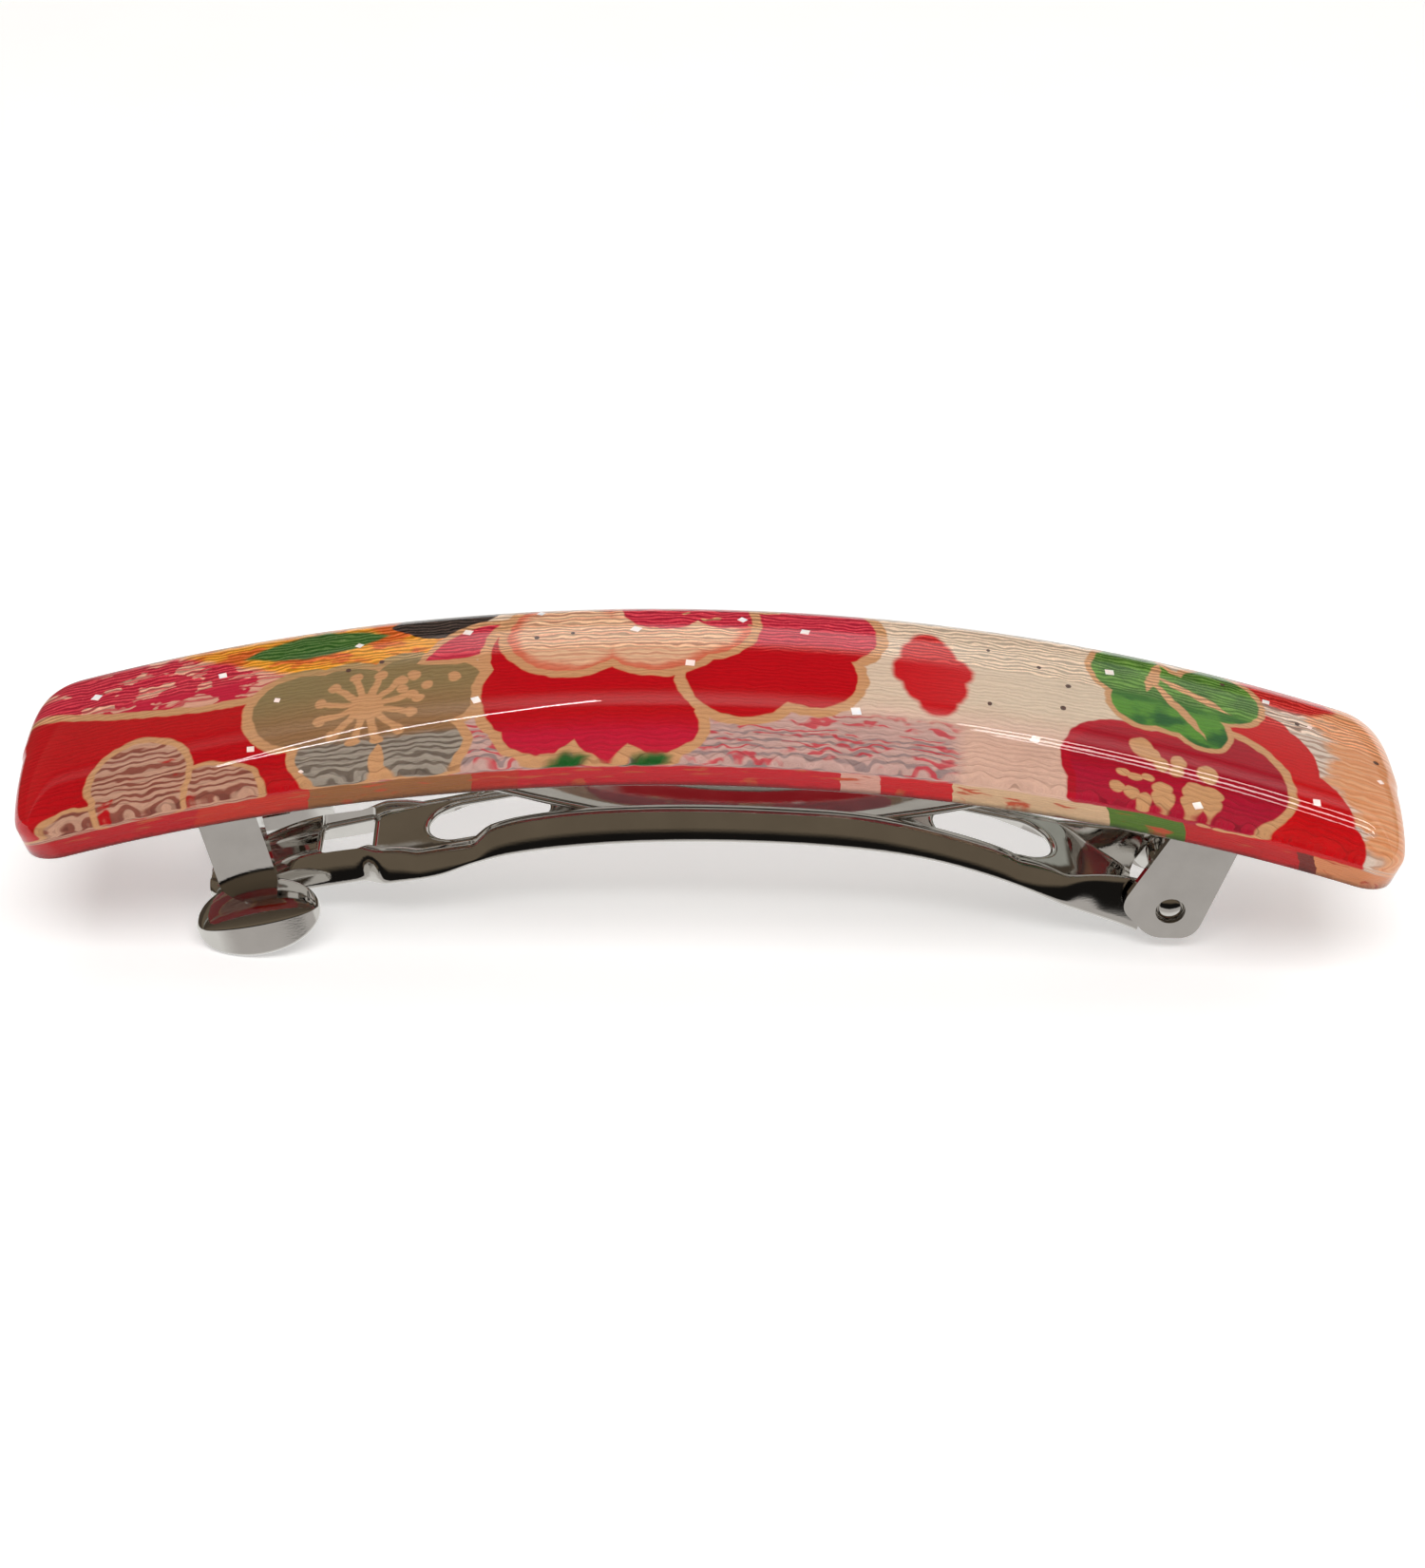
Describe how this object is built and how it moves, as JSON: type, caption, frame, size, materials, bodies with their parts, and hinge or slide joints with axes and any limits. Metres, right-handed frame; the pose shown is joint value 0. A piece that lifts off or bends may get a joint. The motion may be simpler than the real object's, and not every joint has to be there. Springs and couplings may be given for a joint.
{
  "type": "barrette",
  "caption": "Hair barrette: a curved clear resin bar over printed crepe fabric, glued to a nickel-plated French clip with a hinged locking arm and squeeze catch.",
  "frame": {"origin": "under the middle of the bar, level with the feet of the clip", "axes": "+X along the bar from the catch to the hinge, +Y across it, +Z from the clip to the resin"},
  "size_m": [0.1026, 0.0188, 0.0225],
  "materials": {
    "clear_resin": "clear polished casting",
    "crepe_print": "printed crepe",
    "epoxy": "cured glue",
    "nickel_steel": "bright nickel plate"
  },
  "bodies": {
    "bar": {"resin_dome": "clear_resin", "fabric_sheet": "crepe_print", "resin_backing": "clear_resin", "adhesive_pad": "epoxy", "base_plate": "nickel_steel", "hinge_pin": "nickel_steel", "catch_bridge": "nickel_steel", "catch_rivet": "nickel_steel"},
    "arm": {"locking_arm": "nickel_steel"},
    "leg_front": {"catch_leg_front": "nickel_steel"},
    "leg_rear": {"catch_leg_rear": "nickel_steel"},
    "spring": {"tension_spring": "nickel_steel"}
  },
  "joints": [
    {"name": "arm_hinge", "type": "hinge", "parent": "bar", "child": "arm", "pos_m": [0.03455, 0, 0.0037], "axis": [0, -1, 0], "range_deg": [0, 78]},
    {"name": "catch_squeeze_front", "type": "hinge", "parent": "bar", "child": "leg_front", "pos_m": [-0.03611, -0.00443, 0.01148], "axis": [0.9697, 0, 0.2445], "range_deg": [0, 3], "stiffness_Nm_per_rad": 0.15},
    {"name": "catch_squeeze_rear", "type": "hinge", "parent": "bar", "child": "leg_rear", "pos_m": [-0.03611, 0.00443, 0.01148], "axis": [-0.9697, 0, -0.2445], "range_deg": [0, 3], "stiffness_Nm_per_rad": 0.15},
    {"name": "spring_press", "type": "slide", "parent": "bar", "child": "spring", "axis": [0, 0, 1], "range_m": [0, 0.0025], "stiffness_N_per_m": 250, "deforming": ["tension_spring"]}
  ],
  "couplings": [
    {"joint": "catch_squeeze_rear", "follows": "catch_squeeze_front", "ratio": 1}
  ]
}
